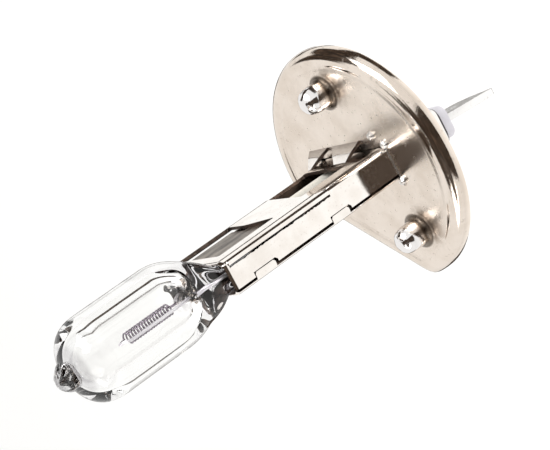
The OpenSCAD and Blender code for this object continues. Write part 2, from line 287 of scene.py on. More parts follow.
# the return lead's molybdenum painted near white, a painted highlight; the rear lead keeps the plain drawn
# molybdenum
highlightedLead = metalFinish("paintedHighlightMolybdenum", {
    "light": (0.92, 0.9, 0.94), "dark": (0.76, 0.73, 0.78), "stainAndReflection": (0.4, 0.36, 0.4),
    "cloud": 0.8, "speck": 0.3, "specks": 0.2, "fine": 0.1, "wave": 1.2, "drawn": (1, 1, 0.2),
    "scratch": 0.0015, "dent": 0.01, "gloss": (0.3, 0.5)})
stripFinish = metalFinish("rolledNickelStrip", {
    "light": (0.78, 0.75, 0.7), "dark": (0.6, 0.56, 0.52), "stainAndReflection": (0.3, 0.25, 0.2),
    "cloud": 1.1, "speck": 0.3, "specks": 0.3, "fine": 0.12, "wave": 1.6, "drawn": (1, 1, 0.25),
    "scratch": 0.0015, "dent": 0.01, "gloss": (0.18, 0.36)})
bladeFinish = metalFinish("tinnedBladeSheet", {
    "light": (0.93, 0.92, 0.91), "dark": (0.74, 0.73, 0.72), "stainAndReflection": (0.35, 0.32, 0.3),
    "cloud": 2.0, "speck": 0.35, "specks": 0.3, "fine": 0.14, "wave": 2.4, "drawn": (1, 1, 0.12),
    "scratch": 0.003, "dent": 0.012, "gloss": (0.2, 0.42)})


def pressedFinish(name, look):
    # a dull fired or moulded body: ceramic, potting and sleeving
    finish = Finish(name)
    cloud = finish.grain(look["cloud"], 5)
    speck = finish.step(finish.grain(look["speck"], 2), 0.6, 0.72)
    tone = finish.blend(cloud, look["light"], look["dark"])
    tone = finish.blend(speck * look["specks"], tone, look["fleck"])
    for level, half in look.get("seams", ()):
        near = finish.step(abs(finish.height() - level), half, half / 2)
        tone = finish.blend(near, tone, look["grimeAndShade"])
    return finish.surface({
        "Base Color": tone,
        "Roughness": look["matt"] + cloud * 0.15,
        "Normal": finish.bump(finish.grain(look["fine"], 4) + speck * 0.4, look["pit"]),
    })


ceramicFinish = pressedFinish("firedCeramic", {
    "seams": ((-8.28, 0.12), (-9.6, 0.06)), "grimeAndShade": (0.1, 0.09, 0.1),
    "light": (0.8, 0.79, 0.84), "dark": (0.66, 0.64, 0.7), "fleck": (0.5, 0.48, 0.52),
    "cloud": 1.5, "speck": 0.25, "specks": 0.3, "fine": 0.15, "matt": 0.38, "pit": 0.012})
cementFinish = pressedFinish("setPottingCement", {
    "light": (0.62, 0.56, 0.48), "dark": (0.45, 0.4, 0.34), "fleck": (0.3, 0.26, 0.22),
    "cloud": 0.8, "speck": 0.2, "specks": 0.5, "fine": 0.2, "matt": 0.7, "pit": 0.03})
sleeveFinish = pressedFinish("wovenGlassSleeving", {
    "light": (0.75, 0.72, 0.66), "dark": (0.6, 0.57, 0.5), "fleck": (0.42, 0.38, 0.33),
    "cloud": 0.6, "speck": 0.2, "specks": 0.4, "fine": 0.1, "matt": 0.6, "pit": 0.03})


def quartzFinish(look):
    # clear fused quartz with a smoky ring behind its tip, a tinted pinch and slight flow ripples
    finish = Finish("clearFusedQuartz")
    along = finish.height()
    smoke = finish.grain(look["smoke"], 3)
    ring = finish.step(along, *look["ringStart"]) * finish.step(along, *look["ringEnd"])
    tone = finish.blend((look["ringSmoke"] + smoke) * ring * look["depth"], look["clear"], look["grey"])
    pinch = finish.step(along, *look["pinch"])
    tone = finish.blend((look["pinchSmoke"] + smoke) * pinch * look["depth"], tone, look["lavender"])
    flow = finish.grain(look["ripple"], 1, look["drawn"])
    return finish.surface({
        "Base Color": tone,
        "Roughness": look["matt"] + smoke * look["smokeMatt"],
        "Transmission Weight": 1.0,
        "IOR": look["refraction"],
        "Normal": finish.bump(flow, look["wave"]),
    })


quartzLook = quartzFinish({
    "clear": (0.985, 0.985, 0.98), "grey": (0.4, 0.385, 0.4), "lavender": (0.74, 0.71, 0.76),
    "smoke": 1.2, "ripple": 1.6, "drawn": (1, 1, 0.35), "wave": 0.01,
    "matt": 0.004, "smokeMatt": 0.01, "refraction": 1.458,
    "depth": 0.7, "ringSmoke": 0.4, "pinchSmoke": 0.3,
    # heights where each tint starts and where it is full
    "ringStart": (39.5, 39.9), "ringEnd": (40.65, 40.45), "pinch": (26.5, 22.5)})


def floorFinish():
    finish = Finish("paleStudioFloor")
    cloud = finish.grain(120, 2)
    tone = finish.blend(cloud, (0.95, 0.95, 0.945), (0.92, 0.92, 0.915))
    return finish.surface({"Base Color": tone, "Roughness": 0.85 + cloud * 0.1})


def cardFinish(name, tone, lighter):
    finish = Finish(name)
    cloud = finish.grain(55, 5)
    shade = finish.blend(finish.step(cloud, 0.45, 0.75), tone, lighter)
    return finish.surface({
        "Base Color": (0, 0, 0, 1),
        "Roughness": 1.0,
        "Emission Color": shade,
        "Emission Strength": 1.0,
    })


print("finishes made:", len(bpy.data.materials))


# an even pale room, with dark cards that shape what the metal and the glass reflect
studio = {"floor": -620.0, "floorSize": 9000.0, "radius": 560.0, "centre": (0, 0, 10)}


def addStageMesh(name, points, faces, material):
    mesh = bpy.data.meshes.new(name)
    mesh.from_pydata([Vector(p) * mm for p in points], [], faces)
    mesh.materials.append(material)
    thing = bpy.data.objects.new(name, mesh)
    scene.collection.objects.link(thing)
    return thing


def addFloor(spec):
    half = spec["floorSize"] / 2
    corners = ((-half, -half), (half, -half), (half, half), (-half, half))
    addStageMesh("floor", [(x, y, spec["floor"]) for x, y in corners], [(0, 1, 2, 3)], floorFinish())


def addCard(name, azimuths, elevations, material, seenBy):
    # a curved card over a range of directions round the bulb
    # it shows only as a reflection in metal, or only through the glass
    columns, rows = 24, 16
    points = []
    for j in range(rows + 1):
        for i in range(columns + 1):
            azimuth = azimuths[0] + (azimuths[1] - azimuths[0]) * i / columns
            elevation = elevations[0] + (elevations[1] - elevations[0]) * j / rows
            points.append(Vector(studio["centre"]) + direction(azimuth, elevation) * studio["radius"])
    wide = columns + 1
    faces = [(j * wide + i, j * wide + i + 1, (j + 1) * wide + i + 1, (j + 1) * wide + i)
             for j in range(rows) for i in range(columns)]
    card = addStageMesh(name, points, faces, material)
    card.visible_camera = False
    card.visible_diffuse = False
    card.visible_shadow = False
    card.visible_glossy = seenBy == "metal"
    card.visible_transmission = seenBy == "glass"


def addLight(name, azimuth, elevation, distance, size, power, tone=(1, 1, 1)):
    data = bpy.data.lights.new(name, "AREA")
    data.shape = "SQUARE"
    data.size = size * mm
    data.energy = power
    data.color = tone
    light = bpy.data.objects.new(name, data)
    scene.collection.objects.link(light)
    out = direction(azimuth, elevation)
    light.matrix_world = Matrix.Translation((Vector(studio["centre"]) + out * distance) * mm) @ (
        out.to_track_quat("Z", "Y").to_matrix().to_4x4())


def addWorld(tone, strength):
    world = bpy.data.worlds.new("paleRoom")
    scene.world = world
    world.use_nodes = True
    world.node_tree.nodes.clear()
    ground = world.node_tree.nodes.new("ShaderNodeBackground")
    ground.inputs["Color"].default_value = (*tone, 1)
    ground.inputs["Strength"].default_value = strength
    end = world.node_tree.nodes.new("ShaderNodeOutputWorld")
    world.node_tree.links.new(ground.outputs[0], end.inputs[0])


addFloor(studio)
addWorld((1.0, 0.995, 0.985), 1.0)
brownCard = cardFinish("darkBrownCard", (0.024, 0.016, 0.011), (0.15, 0.1, 0.07))
for cardName, azimuths, elevations, seenBy in (
        ("frontCard", (-38, 29), (-9, 62), "metal"),
        ("shoulderCard", (-74, -38), (37, 66), "metal"),
        ("sideCard", (94, 138), (-20, 15), "metal"),
        ("highCard", (102, 160), (14, 47), "metal"),
        ("topCard", (165, 415), (60, 77), "metal"),
        ("crownCard", (0, 360), (74, 90), "metal"),
        ("lowCard", (62, 118), (-47, -18), "metal"),
        ("rearLowCard", (150, 160), (-47, -12), "metal"),
        ("farLowCard", (173, 204), (-60, -12), "metal"),
        ("edgeLowCard", (204, 236), (-44, -22), "metal"),
        ("glassLineCard", (143, 156), (-50, -12), "glass"),
        ("glassEdgeCardA", (96, 108), (-50, -12), "glass"),
        ("glassEdgeCardB", (280, 292), (-50, -12), "glass"),
        ("glassTipCard", (-5, 30), (16, 42), "glass")):
    addCard(cardName, azimuths, elevations, brownCard, seenBy)
addLight("keyLight", 85, 40, 900, 500, 6)
addLight("fillLight", -70, 50, 900, 600, 3, (1.0, 0.96, 0.92))
print("studio ready")


def addPiece(name, points, faces, finishes, slotName, nodes=()):
    mesh = bpy.data.meshes.new(name)
    mesh.from_pydata([Vector(p) * mm for p in points], [], faces)
    for finish in finishes:
        mesh.materials.append(finish)
    piece = bpy.data.objects.new(name, mesh)
    scene.collection.objects.link(piece)
    if slotName:
        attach(piece, "root")
        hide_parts(*nodes)
    return piece


def modify(piece, kind, **settings):
    modifier = piece.modifiers.new(kind.lower(), kind)
    for key, value in settings.items():
        setattr(modifier, key, value)


def settle(piece, crease):
    # applies the modifiers, then keeps edges sharper than crease degrees crisp
    shown = piece.evaluated_get(bpy.context.evaluated_depsgraph_get())
    made = bpy.data.meshes.new_from_object(shown)
    made.name = piece.name
    old = piece.data
    piece.modifiers.clear()
    piece.data = made
    bpy.data.meshes.remove(old)
    made.polygons.foreach_set("use_smooth", [True] * len(made.polygons))
    made.set_sharp_from_angle(angle=math.radians(crease))
    return piece


def gather(target, *others):
    # joins the meshes of settled objects into the target
    work = bmesh.new()
    work.from_mesh(target.data)
    for other in others:
        work.from_mesh(other.data)
    work.to_mesh(target.data)
    work.free()
    for other in others:
        bpy.data.objects.remove(other)


def arc(centre, radius, start, end, count):
    turns = [math.radians(start + (end - start) * i / count) for i in range(count + 1)]
    return [(centre[0] + radius * math.cos(t), centre[1] + radius * math.sin(t)) for t in turns]


def roundedBox(width, height, radius, count=8, centre=(0, 0)):
    x, y = width / 2 - radius, height / 2 - radius
    loop = []
    for sx, sy, start in ((1, 1, 0), (-1, 1, 90), (-1, -1, 180), (1, -1, 270)):
        loop += arc((centre[0] + sx * x, centre[1] + sy * y), radius, start, start + 90, count)
    return loop


def divided(loop, step):
    # the same closed outline, with no gap longer than step
    out = []
    for a, b in zip(loop, loop[1:] + loop[:1]):
        count = max(1, math.ceil(math.dist(a, b) / step))
        out += [tuple(p + (q - p) * i / count for p, q in zip(a, b)) for i in range(count)]
    return out


def holds(loop, point):
    # whether the point lies inside the closed outline
    inside = False
    x, y = point
    for (ax, ay), (bx, by) in zip(loop, loop[1:] + loop[:1]):
        if (ay > y) != (by > y) and x < (bx - ax) * (y - ay) / (by - ay) + ax:
            inside = not inside
    return inside


mesher = {"rowGap": 0.87, "jitter": 0.08, "foldGap": 0.45, "crossGap": 0.3, "rimGap": 0.5}  # times the step


def nearFold(x, y, fold, step):
    a, b = fold
    if a[0] == b[0]:
        return abs(x - a[0]) < step * mesher["foldGap"]
    return abs(y - a[1]) < step * mesher["crossGap"]


def cutBlank(outline, holes, step, folds=(), seed=1):
    # a flat sheet blank: the outline less its holes, cut into triangles about step across
    draw = random.Random(seed)
    rowGap, jitter = mesher["rowGap"] * step, mesher["jitter"]
    loops = [divided(loop, step) for loop in [outline] + list(holes)]
    points, edges = [], []
    for loop in loops:
        first = len(points)
        points += loop
        edges += [(first + i, first + (i + 1) % len(loop)) for i in range(len(loop))]
    rim = list(points)
    for a, b in folds:
        edges.append((len(points), len(points) + 1))
        points += [a, b]
    lowX, highX = min(p[0] for p in outline), max(p[0] for p in outline)
    lowY, highY = min(p[1] for p in outline), max(p[1] for p in outline)
    for j in range(1, int((highY - lowY) / rowGap)):
        for i in range(1, int((highX - lowX) / step) + 1):
            x = lowX + step * (i - 0.5 * (j % 2)) + draw.uniform(-jitter, jitter) * step
            y = lowY + rowGap * j + draw.uniform(-jitter, jitter) * step
            if any(nearFold(x, y, fold, step) for fold in folds):
                continue
            if min(math.dist((x, y), p) for p in rim) < mesher["rimGap"] * step:
                continue
            points.append((x, y))
    flat, _, triangles, *_ = delaunay_2d_cdt([Vector(p) for p in points], edges, [], 0, 1e-5)
    kept = []
    for triangle in triangles:
        middle = sum((flat[i] for i in triangle), Vector((0, 0))) / 3
        if holds(loops[0], middle) and not any(holds(hole, middle) for hole in loops[1:]):
            kept.append(tuple(triangle))
    used = sorted({i for triangle in kept for i in triangle})
    order = {old: new for new, old in enumerate(used)}
    return [tuple(flat[i]) for i in used], [tuple(order[i] for i in t) for t in kept]


def loft(rings, capStart=False, capEnd=False):
    # skins equal rings of points, with optional end caps
    count = len(rings[0])
    points = [p for ring in rings for p in ring]
    faces = []
    for j in range(len(rings) - 1):
        for i in range(count):
            a, b = j * count + i, j * count + (i + 1) % count
            faces.append((a, b, b + count, a + count))
    if capStart:
        faces.append(tuple(reversed(range(count))))
    if capEnd:
        faces.append(tuple(range(len(points) - count, len(points))))
    return points, faces


def joined(*parts):
    points, faces = [], []
    for partPoints, partFaces in parts:
        first = len(points)
        points += partPoints
        faces += [tuple(i + first for i in face) for face in partFaces]
    return points, faces


def smoothPath(knots, steps):
    # a rounded line through the knots
    knots = [Vector(k) for k in knots]
    ends = [2 * knots[0] - knots[1]] + knots + [2 * knots[-1] - knots[-2]]
    path = []
    for a, b, c, d in zip(ends, ends[1:], ends[2:], ends[3:]):
        for i in range(steps):
            t = i / steps
            path.append(0.5 * (2 * b + (c - a) * t + (2 * a - 5 * b + 4 * c - d) * t * t
                               + (3 * b - a - 3 * c + d) * t ** 3))
    return path + [knots[-1]]


def sweep(path, radius, sides=12):
    # a round wire along a path, with a domed cut at each end
    rings = []
    side = (path[1] - path[0]).orthogonal().normalized()
    for i, point in enumerate(path):
        ahead = path[min(i + 1, len(path) - 1)] - path[max(i - 1, 0)]
        ahead.normalize()
        side = (side - side.dot(ahead) * ahead).normalized()
        other = ahead.cross(side)
        width = radius(i / (len(path) - 1)) if callable(radius) else radius
        turns = [2 * math.pi * k / sides for k in range(sides)]
        rings.append([point + (side * math.cos(t) + other * math.sin(t)) * width for t in turns])
    return loft(rings, True, True)


def softMin(a, b, width):
    # the smaller value, rounded over where the two come within width of each other
    h = max(width - abs(a - b), 0) / width
    return min(a, b) - h * h * width / 4


def fade(value, low, high):
    # eases from 0 at low to 1 at high
    t = max(0, min(1, (value - low) / (high - low)))
    return t * t * (3 - 2 * t)


def ripple(point, size, seed):
    # smooth noise between about -1 and 1
    return noise.noise(Vector(point) / size + Vector((seed, seed * 1.7, -seed)))


print("tools ready")


# the pressed flange, with its rolled rim, its flat and three bosses
disc = {
    "flat": 9.4, "flatTurn": 233, "corner": 0.7,
    "sheet": 0.6, "bend": 1.3, "rim": 1.6,
    "bossCircle": 8.9, "bossTurns": (88, 193, 298), "bossRadius": 1.5, "bossHeight": 3.0,
    "bossFoot": 2.5, "bossFillet": 0.5, "bossLand": 0.3,
    # radius and height, in the shallow moat round each boss
    "bossMoat": ((2.36, -0.015), (2.24, -0.05), (2.12, -0.03)),
    "bossFlute": 0.025, "bossPucker": 0.03, "slotGap": 0.06, "slotCorner": 0.55,
    "grid": 0.75, "wave": 0.025, "waveSize": 4.5, "calm": 1.2, "easedEdge": 0.07,
    # inset from the outline and depth, over the crease inside the rim
    "crease": ((2.3, 0), (2.12, 0.02), (1.93, 0.11), (1.74, 0.12), (1.56, 0.03), (1.42, 0)),
}
bossPlaces = [direction(turn, 0) * disc["bossCircle"] for turn in disc["bossTurns"]]
discFinish = metalFinish("rolledFlangeSteel", {
    # the offset of each boss's painted reflection from the boss
    "bosses": bossPlaces, "reflectionShift": Vector((1.7, 0.4, 0)), "matt": 0.14,
    # the first tone paints the bosses' upper parts lighter, a painted highlight; the second paints their
    # feet darker, painted shade
    "highlightTone": (0.86, 0.84, 0.83), "grimeAndShade": (0.1, 0.075, 0.055),
    "light": (0.83, 0.745, 0.665), "dark": (0.74, 0.65, 0.565), "stainAndReflection": (0.36, 0.29, 0.23),
    "cloud": 3.2, "speck": 0.5, "specks": 0.25, "fine": 0.16, "wave": 5.0,
    "scratch": 0.0055, "dent": 0.02, "gloss": (0.05, 0.15)})
discSpan = span("base_disc")
discRadius = (discSpan[1].x - discSpan[0].x) / 2
holderSpan = span("holder_shell_lower")
holderWide, holderDeep = holderSpan[1].x - holderSpan[0].x, -2 * holderSpan[0].y


def discEdge(turn, inset):
    # distance from the axis to the disc's outline drawn in by inset
    away = math.cos(turn - math.radians(disc["flatTurn"]))
    rim = discRadius - inset
    return rim if away < 0.2 else softMin(rim, (disc["flat"] - inset) / away, disc["corner"])


def discLoop(inset, height, count=240):
    turns = [2 * math.pi * i / count for i in range(count)]
    return [(discEdge(t, inset) * math.cos(t), discEdge(t, inset) * math.sin(t), height) for t in turns]


def bossProfile():
    # radius and height, from the moat over the fillet and a slightly bulged side to the flat land
    r, h, fillet = disc["bossRadius"], disc["bossHeight"], disc["bossFillet"]
    profile = [(disc["bossFoot"], 0), *disc["bossMoat"], (r + fillet, 0)]
    for i in range(1, 6):
        a = math.radians(18 * i)
        profile.append((r + fillet - fillet * math.sin(a), fillet - fillet * math.cos(a)))
    rise = h - r + 0.1
    profile.append((r * 1.015, (fillet + rise) / 2))
    dome = math.degrees(math.asin((h - rise) / r))
    profile += arc((0, rise), r, 0, dome, 9)
    return profile + [(disc["bossLand"], h)]


def bossMesh(turn, seed):
    # a drawn dome with the slight flats and puckers of a hard pressing
    centre = Vector((disc["bossCircle"] * math.cos(turn), disc["bossCircle"] * math.sin(turn), 0))
    rings = []
    for radius, height in bossProfile():
        ring = []
        lift = max(0, min(1, height / 0.6))
        for i in range(48):
            a = 2 * math.pi * i / 48
            flute = disc["bossFlute"] * math.cos(6 * a + seed)
            pucker = disc["bossPucker"] * ripple((math.cos(a) * 1.2, math.sin(a) * 1.2, height), 1.1, seed)
            wide = radius * (1 + lift * (flute + pucker))
            ring.append(centre + Vector((wide * math.cos(a), wide * math.sin(a), height)))
        rings.append(ring)
    return loft(rings, capEnd=True)


def makeDisc():
    turns = [math.radians(t) for t in disc["bossTurns"]]
    feet = []
    for t in turns:
        centre = (disc["bossCircle"] * math.cos(t), disc["bossCircle"] * math.sin(t))
        feet.append(arc(centre, disc["bossFoot"], 0, 360, 48)[:-1])
    slot = roundedBox(holderWide + 2 * disc["slotGap"], holderDeep + 2 * disc["slotGap"], disc["slotCorner"])
    edge = [(x, y) for x, y, z in discLoop(disc["crease"][0][0], 0)]
    flat, triangles = cutBlank(edge, [slot] + feet, disc["grid"])
    face = []
    for x, y in flat:
        near = min(math.dist((x, y), p) for loop in [edge, slot] + feet for p in loop)
        calm = min(1, near / disc["calm"])
        face.append((x, y, disc["wave"] * calm * ripple((x, y, 0), disc["waveSize"], 3)))
    bend, rim = disc["bend"], disc["rim"]
    rings = [discLoop(inset, -depth) for inset, depth in disc["crease"]]
    for i in range(13):
        t = math.radians(90 * i / 12)
        rings.append(discLoop(bend * (1 - math.sin(t)), -bend * (1 - math.cos(t))))
    rings.append(discLoop(0, -rim))
    skin = loft(list(reversed(rings)))
    bosses = [bossMesh(t, 5 + 3 * i) for i, t in enumerate(turns)]
    points, faces = joined((face, triangles), skin, *bosses)
    piece = addPiece("flangeDisc", points, faces, [discFinish], "flange_plate", ["base_disc"])
    work = bmesh.new()
    work.from_mesh(piece.data)
    bmesh.ops.remove_doubles(work, verts=work.verts, dist=0.002 * mm)
    bmesh.ops.recalc_face_normals(work, faces=work.faces)
    top = max(work.faces, key=lambda f: f.calc_center_median().z)
    if top.normal.z < 0:
        bmesh.ops.reverse_faces(work, faces=work.faces)
    work.to_mesh(piece.data)
    work.free()
    modify(piece, "SOLIDIFY", thickness=disc["sheet"] * mm, offset=-1)
    modify(piece, "BEVEL", width=disc["easedEdge"] * mm, segments=2, limit_method="ANGLE",
           angle_limit=math.radians(50))
    settle(piece, 38)


makeDisc()
print("flange disc made")


# two folded sheet channels, closed on each other with lugs
holder = {
    "sheet": 0.35, "easedEdge": 0.15, "top": 23.4, "foot": -1.5,
    "bend": 0.55, "shoulder": 1.35, "shoulderLength": 1.55,
    "wallEdge": -1.3, "notchCorner": 0.25,
    "lugSpans": ((7.4, 9.8), (17.9, 20.6)), "lugTop": -0.875,
    "lugGap": 0.1, "lugSlack": 0.38, "lugCorner": 0.2,
    "frontWindow": ((-4.95, 14.6), (-1.4, 14.8), (3.0, 14.0), (3.0, 21.7), (-4.95, 21.7)),
    "rearWindow": ((-5.35, 3.2), (-0.5, 3.2), (2.5, 3.0), (2.5, 9.7), (-5.35, 8.9)),
    "floorWindow": ((-3.2, 3.2), (3.2, 3.2), (3.2, 9.4), (-3.2, 9.4)),
    "hemSpan": (8.7, 22.8), "hemEdge": 1.22, "hemStart": 0.7,
    "hemProud": 0.13, "hemSheet": 0.14, "hemEased": 0.05,
    "slitDepth": 0.27, "slitLap": 0.05, "slitJag": 0.05,
    "step": 0.9, "dent": 0.03, "dentSize": 3.5, "dentEdge": (0.3, 1.8),
    "lip": 0.45, "lipTurn": 62, "lipRings": 5, "lipMargin": (0.8, 0.3), "folds": 9,
}
sideX, sideY = holderWide / 2, holderDeep / 2
# the upper half, 1, has softer shoulders than the lower half, -1
bendLength = {1: holder["shoulderLength"], -1: holder["bend"] * math.pi / 2}
bendWide = {1: holder["shoulder"], -1: holder["bend"]}


def wrapSheet(u, z, up, proud=0.0):
    # folds a flat blank to the holder's section: u runs over the wide wall and down both narrow ones
    side = 1 if u > 0 else -1
    flatHalf = sideX - bendWide[up]
    far = abs(u) - flatHalf
    if far < 0:
        return Vector((u, up * (sideY + proud), z))
    drop = sideY - holder["bend"]
    if far < bendLength[up]:
        t = far / bendLength[up] * math.pi / 2
        return Vector((side * (flatHalf + (bendWide[up] + proud) * math.sin(t)),
                       up * (drop + (holder["bend"] + proud) * math.cos(t)), z))
    return Vector((side * (sideX + proud), up * (drop - (far - bendLength[up])), z))


def wrapDepth(y, up):
    # the blank's u at which a narrow wall reaches height y
    return sideX - bendWide[up] + bendLength[up] + (sideY - holder["bend"] - up * y)


def rolledLip(point):
    # the mouth's edge rolls in a little
    start = holder["top"] - holder["lip"]
    if point.z <= start:
        return point
    turn = math.radians(holder["lipTurn"]) * (point.z - start) / holder["lip"]
    size = holder["lip"] / math.radians(holder["lipTurn"])
    inward = size * (1 - math.cos(turn))
    marginX, marginY = holder["lipMargin"]
    x = point.x - math.copysign(inward, point.x) if abs(point.x) > sideX - marginX else point.x
    y = point.y - math.copysign(inward, point.y) if abs(point.y) > sideY - marginY else point.y
    return Vector((x, y, start + size * math.sin(turn)))


def lipLines(width):
    # edges across a blank, for its mouth to roll along
    count = holder["lipRings"]
    heights = [holder["top"] - holder["lip"] * i / count for i in range(1, count + 1)]
    return [((-width, z), (width, z)) for z in heights]


def foldLines(low, high, up, sides=(-1, 1)):
    # edges along a blank, for its bends to fold along
    lines = []
    for side in sides:
        for i in range(holder["folds"] + 1):
            u = side * (sideX - bendWide[up] + bendLength[up] * i / holder["folds"])
            lines.append(((u, low), (u, high)))
    return lines


def softCorners(outline, radius, count=4):
    # rounds each corner of an outline with a small curve
    out = []
    for i, corner in enumerate(outline):
        here = Vector(corner)
        before, after = Vector(outline[i - 1]), Vector(outline[(i + 1) % len(outline)])
        a = here + (before - here).normalized() * radius
        b = here + (after - here).normalized() * radius
        for k in range(count + 1):
            t = k / count
            out.append(tuple((1 - t) ** 2 * a + 2 * t * (1 - t) * here + t * t * b))
    return out


def sheetPiece(name, blank, place, finishes, slotName, nodes=(), sheet=holder["sheet"],
               bevel=holder["easedEdge"], cut=0):
    # a blank put in place and thickened; cut picks the finish of its cut edges
    flat, triangles = blank
    piece = addPiece(name, [place(u, v) for u, v in flat], triangles, finishes, slotName, nodes)
    # the last finish goes on the inner face and, with cut=1, on the cut edges; for the holder that is the
    # painted-shade inside finish
    modify(piece, "SOLIDIFY", thickness=sheet * mm, offset=-1, material_offset=len(finishes) - 1,
           material_offset_rim=cut)
    modify(piece, "BEVEL", width=bevel * mm, segments=2, limit_method="ANGLE", angle_limit=math.radians(55))
    return settle(piece, 19)  # the folds turn by less than that at each step, and the eased edges by more


def flipped(blank):
    flat, triangles = blank
    return flat, [tuple(reversed(t)) for t in triangles]


def mirrored(right):
    return right + [(-u, z) for u, z in reversed(right)]


def upperOutline():
    edge = wrapDepth(holder["wallEdge"], 1)
    notch = wrapDepth(holder["lugTop"] + holder["lugGap"], 1)
    corner = holder["notchCorner"]
    right = [(edge, holder["foot"])]
    for a, b in holder["lugSpans"]:
        low, high = a - holder["lugSlack"], b + holder["lugGap"]
        right += [(edge, low), (notch + corner, low), (notch, low + corner), (notch, high), (edge, high)]
    right.append((edge, holder["top"]))
    return mirrored(right)


def lowerOutline(edge):
    lug = wrapDepth(holder["lugTop"], -1)
    corner = holder["lugCorner"]
    right = [(edge, holder["foot"])]
    for a, b in holder["lugSpans"]:
        right += [(edge, a), (lug - corner, a), (lug, a + corner)]
        right += [(lug, b - corner), (lug - corner, b), (edge, b)]
    right.append((edge, holder["top"]))
    return mirrored(right)


def dented(point, up, soft, seed):
    return point - Vector((0, up, 0)) * holder["dent"] * soft * abs(ripple(point, holder["dentSize"], seed))


def raggedSlits():
    # one slit runs along each narrow wall, just under the edge that is folded down over it
    jag = random.Random(8)
    low, high = holder["hemSpan"]
    hemLow = wrapDepth(holder["hemEdge"], 1)
    slits = []
    for side in (-1, 1):
        straight = side * (hemLow - holder["slitLap"])
        slit = [(straight, low), (straight, high)]
        for i in range(61):
            depth = holder["slitDepth"] + jag.uniform(-holder["slitJag"], holder["slitJag"])
            slit.append((side * (hemLow + depth), high - (high - low) * i / 60))
        slits.append(slit)
    return slits


def makeUpperShell():
    def place(u, z):
        point = wrapSheet(u, z, 1)
        # only the wide wall is dented: the narrow ones are stiff
        near, far = holder["dentEdge"]
        return rolledLip(dented(point, 1, fade(abs(point.x), sideX - near, sideX - far), 2))

    cuts = [softCorners(holder[key], 0.3) for key in ("frontWindow", "rearWindow")] + raggedSlits()
    folds = foldLines(holder["foot"], holder["top"], 1) + lipLines(wrapDepth(holder["wallEdge"], 1))
    blank = cutBlank(upperOutline(), cuts, holder["step"], folds, 4)
    upper = sheetPiece("upperShell", flipped(blank), place, [holderFinish, shadedHolderInside], "holder_plate",
                       ["holder_shell_upper"], cut=1)
    gather(upper, makeHem(1), makeHem(-1), *[makeFoot(outline) for outline in foot["outlines"]])
    modify(upper, "WEIGHTED_NORMAL", weight=50, keep_sharp=True)  # keeps the walls flat up to their edges


def makeHem(side):
    # the folded-down edge over a slit
    low, high = holder["hemSpan"]
    inner = sideX - bendWide[1] + holder["hemStart"] * bendLength[1]
    outer = wrapDepth(holder["hemEdge"], 1)
    outline = [(side * u, z) for u, z in ((inner, high), (inner, low), (outer, low), (outer, high))]
    strip = cutBlank(outline, [], 0.5, foldLines(low, high, 1, (side,)), 5)
    return sheetPiece("hem", flipped(strip), lambda u, z: wrapSheet(u, z, 1, holder["hemProud"]),
                      [holderFinish, shadedHolderInside], None, (), holder["hemSheet"], holder["hemEased"])


foot = {
    "outlines": (((-7.0, 0), (-3.6, 0), (-4.9, 2.75), (-5.3, 2.75)),
                 ((-2.8, 0), (2.0, 0), (1.4, 2.75), (-0.6, 2.75))),
    "out": 1.2, "lean": (0, -1.2, 2.3), "corner": 0.12, "step": 0.6,
    "bow": 0.08, "bowLength": 2.6, "bowSide": (0, 0.88, 0.46),
}


def makeFoot(outline):
    # a tongue that leans from the wide wall down onto the flange
    lean = Vector(foot["lean"]).normalized()
    blank = cutBlank(softCorners(outline, foot["corner"], 2), [], foot["step"], (), 9)
    origin = Vector((0, sideY + foot["out"], 0))

    def place(u, v):
        bow = foot["bow"] * math.sin(math.pi * min(1, v / foot["bowLength"]))
        return origin + Vector((u, 0, 0)) + lean * v + Vector(foot["bowSide"]) * bow

    return sheetPiece("foot", flipped(blank), place, [holderFinish, shadedHolderInside], None, cut=1)


def makeLowerShell():
    def place(u, z):
        return rolledLip(dented(wrapSheet(u, z, -1), -1, 1, 7))

    edge = sideX - bendWide[-1] + holder["bend"]
    folds = foldLines(holder["foot"], holder["top"], -1) + lipLines(edge)
    blank = cutBlank(lowerOutline(edge), [softCorners(holder["floorWindow"], 0.5)], holder["step"], folds, 6)
    lower = sheetPiece("lowerShell", blank, place, [holderFinish, shadedHolderInside], "holder_plate",
                       ["holder_shell_lower"], cut=1)
    modify(lower, "WEIGHTED_NORMAL", weight=50, keep_sharp=True)


makeUpperShell()
makeLowerShell()
print("holder made")


# weld buttons and seams that join the holder to the flange
beads = {
    "radius": 0.52, "smallest": 0.9, "height": 0.5, "sunk": 0.05, "lump": 0.3, "lumpHigh": 0.12,
    "outX": 0.1, "outY": 0.25, "loose": (4.4, 3.275), "seed": 11,
    "seamOut": 0.05, "seamHigh": 0.06, "seamRadius": 0.11, "seamMargin": 0.3,
}


def beadMesh(x, y, size, seed):
    rings = []
    for j in range(9):
        t = math.radians(90 * j / 8.6)  # stops just short of the pole
        ring = []
        for i in range(28):
            a = 2 * math.pi * i / 28
            lump = 1 + beads["lump"] * ripple((math.cos(a), math.sin(a), j * 0.2), 0.8, seed + 2)
            out = size * lump * math.cos(t)
            tall = beads["height"] * (1 + beads["lumpHigh"] * ripple((a, t, 0), 1, seed))
            ring.append(Vector((x + out * math.cos(a), y + out * math.sin(a), tall * math.sin(t))))
        rings.append(ring)
    base = [Vector((p.x, p.y, -beads["sunk"])) for p in rings[0]]
    return loft([base] + rings, True, True)


